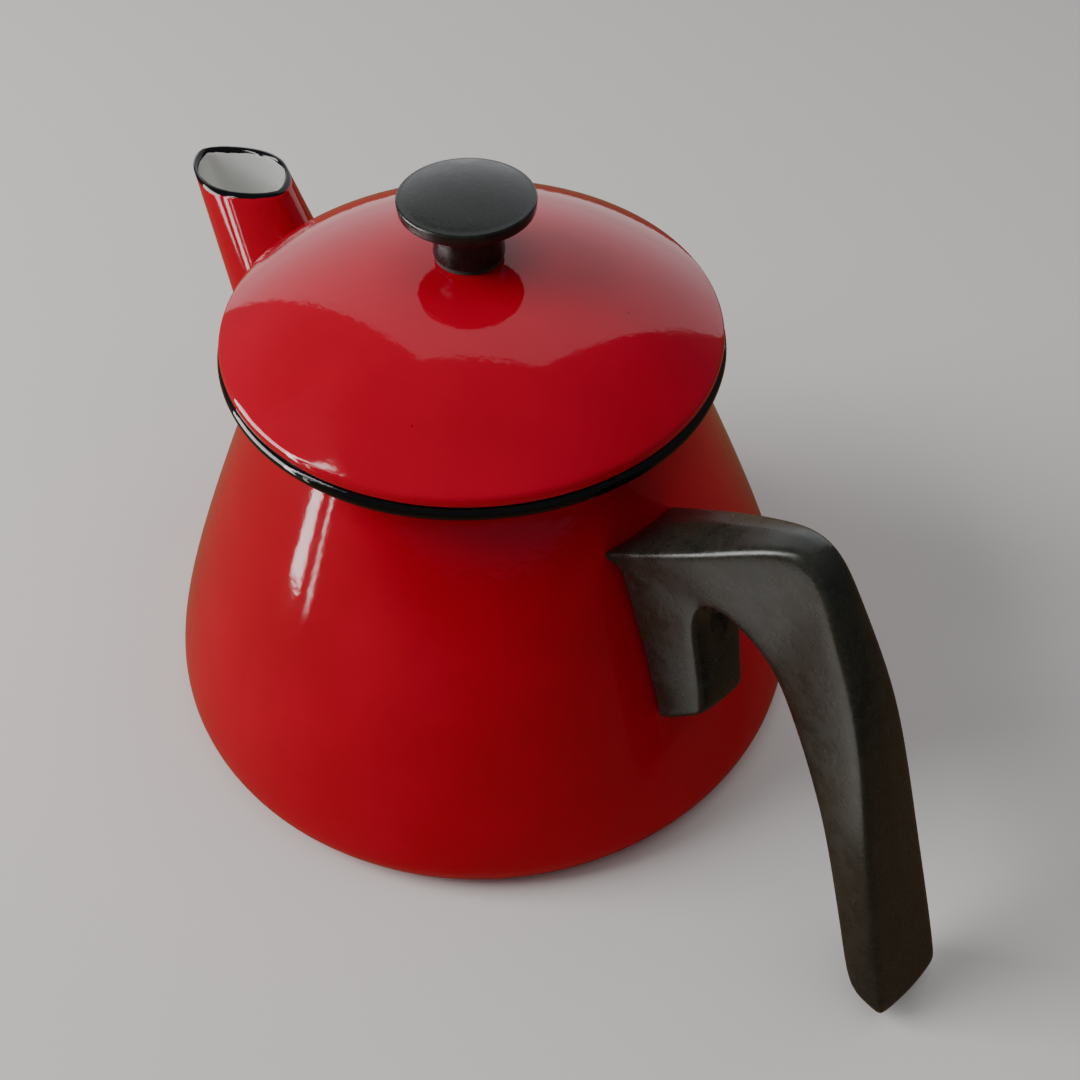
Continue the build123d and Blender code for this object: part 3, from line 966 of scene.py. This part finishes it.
# The handle's fixings are dull steel. Their colour is also painted far darker than plain steel, as
# painted shade of the screw recess they sit in.
shaded_dull_steel = fixing(
    "dull_steel_finish", (0.10, 0.09, 0.08), (0.05, 0.045, 0.04), 1.0, 0.4, 0.6, 220.0,
)
plain_steel = fixing(
    "plain_steel_finish", (0.55, 0.54, 0.52), (0.38, 0.36, 0.33), 1.0, 0.25, 0.45, 220.0,
)
brass_insert = fixing(
    "brass_finish", (0.62, 0.44, 0.18), (0.42, 0.29, 0.12), 1.0, 0.25, 0.45, 260.0,
)
fibre_seal = fixing(
    "fibre_finish", (0.06, 0.045, 0.035), (0.03, 0.022, 0.018), 0.0, 0.7, 0.9, 500.0,
)

# %% [markdown]
# ## Putting it together
#
# Each new piece is given its finishes, rides on its body, and stands for the plain part of the frame
# that it replaces. The frame's small parts have the right shape already, so they only get a finish.


# %% Dress the new pieces
def dress(piece, body_name, slot, materials, *nodes):
    """Finish a piece, let it ride on its body, and let it stand for parts of the frame."""
    slots = piece.data.materials
    for index, material in enumerate(materials):
        if index < len(slots):
            slots[index] = material
        else:
            slots.append(material)
    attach(piece, body_name)
    if nodes:
        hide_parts(*nodes)


dress(body, "kettle", "red_enamel", [red_body, white_body], "body_shell", "base_pan")
dress(spout, "kettle", "red_enamel", [red_spout, white_spout], "spout_tube")
dress(bead, "kettle", "red_enamel", [red_body])
dress(rim, "kettle", "black_enamel", [black_rim], "rim_hoop")
dress(handle, "kettle", "phenolic", [handle_phenolic], "handle")
dress(lid, "lid", "red_enamel", [red_lid, white_lid], "lid_shell")
dress(knob, "lid", "phenolic", [knob_phenolic], "knob")

# %% Dress the frame's own small parts
SMALL_PARTS = {
    # The handle's fixings take the steel that is darkened as painted shade of the screw recess.
    shaded_dull_steel: [
        "handle_bracket", "bracket_nut", "handle_washer", "handle_lock_washer", "handle_screw",
    ],
    plain_steel: ["knob_washer", "knob_lock_washer", "knob_screw"],
    brass_insert: ["knob_insert"],
    fibre_seal: ["knob_seal"],
    white_lid: ["lid_collar"],
}
for material, names in SMALL_PARTS.items():
    for name in names:
        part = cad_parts[name]
        part.data.materials.clear()
        part.data.materials.append(material)
print("small parts dressed", sum(len(names) for names in SMALL_PARTS.values()))

# %% [markdown]
# ## Floor and light
#
# The kettle stands on a plain pale floor. Glossy enamel shows its surroundings, so the lights are soft
# panels that show either in gloss or in the shade, which lets each be placed for one thing. A panel
# behind the kettle, like a bright wall, fills the top of the lid. Two slits and a pane of a window on
# the left draw the long streaks. A low panel by the handle gives the phenolic its sheen, and is linked
# to the handle alone, so that the enamel doesn't mirror it. Then a key light and a weak panel overhead
# light the shade.

# %% The floor, which gloss sees as a darker and warmer table
FLOOR_SIZE = 8
FLOOR_COLOUR = (0.8, 0.78, 0.75)
FLOOR_IN_GLOSS = (0.26, 0.16, 0.09)

bpy.ops.object.select_all(action="DESELECT")
bpy.ops.mesh.primitive_plane_add(size=FLOOR_SIZE)
floor = bpy.context.object
floor.name = "floor"
floor_material, floor_tree, floor_shader, _ = new_material("pale_floor")
in_gloss = floor_tree.nodes.new("ShaderNodeLightPath").outputs["Is Glossy Ray"]
floor_colour = mix_colour(floor_tree, in_gloss, FLOOR_COLOUR, FLOOR_IN_GLOSS)
floor_tree.links.new(floor_colour, floor_shader.inputs["Base Color"])
floor_shader.inputs["Roughness"].default_value = 0.7
floor_shader.inputs["Specular IOR Level"].default_value = 0.0
floor.data.materials.append(floor_material)

# %% The lights
def panel(
    name, turn, distance, level, width, height, radiance, shows, aim_level=None, colour=(1, 1, 1),
):
    """A rectangular light at this turn about the kettle, which shows in "gloss" or in "shade" only.

    Radiance is how bright its face looks.
    """
    turn = math.radians(turn)
    place = Vector((distance * math.cos(turn), distance * math.sin(turn), level))
    aim = Vector((0, 0, level if aim_level is None else aim_level))
    bpy.ops.object.light_add(type="AREA", location=place)
    light = bpy.context.object
    light.name = name
    light.data.shape = "RECTANGLE"
    light.data.size = width
    light.data.size_y = height
    light.data.energy = radiance * math.pi * width * height
    light.data.color = colour
    light.rotation_euler = (aim - place).to_track_quat("-Z", "Y").to_euler()
    light.visible_diffuse = shows == "shade"
    light.visible_glossy = shows == "gloss"
    light.visible_camera = False
    return light


GLARE_TURN = -50

panel("bright_wall", 135, 0.62, 1.2, 1.25, 2.4, 1.0, "gloss", colour=(0.93, 0.95, 1))
panel("window_slit", -111, 0.36, 0.26, 0.032, 0.5, 18.0, "gloss")
panel("window_sliver", -103.5, 0.36, 0.26, 0.007, 0.5, 14.0, "gloss")
panel("window_pane", -130, 0.7, 0.2, 0.44, 0.38, 13.0, "gloss")
glare = panel("table_glare", GLARE_TURN, 0.155, 0.003, 0.09, 0.13, 1.2, "gloss")
glare.rotation_euler = (math.pi, 0, math.radians(GLARE_TURN))
glare_takers = bpy.data.collections.new("glare_takers")
glare_takers.objects.link(handle)
glare.light_linking.receiver_collection = glare_takers
panel("window_key", -128, 1.2, 1.0, 0.8, 0.8, 9.5, "shade", 0.08)
panel("ceiling_fill", 60, 0.3, 1.6, 1.6, 1.6, 0.9, "shade", 0.0)

world = bpy.context.scene.world or bpy.data.worlds.new("studio")
bpy.context.scene.world = world
world.use_nodes = True
background = world.node_tree.nodes["Background"].inputs
background["Color"].default_value = (0.92, 0.95, 1, 1)
background["Strength"].default_value = 0.16
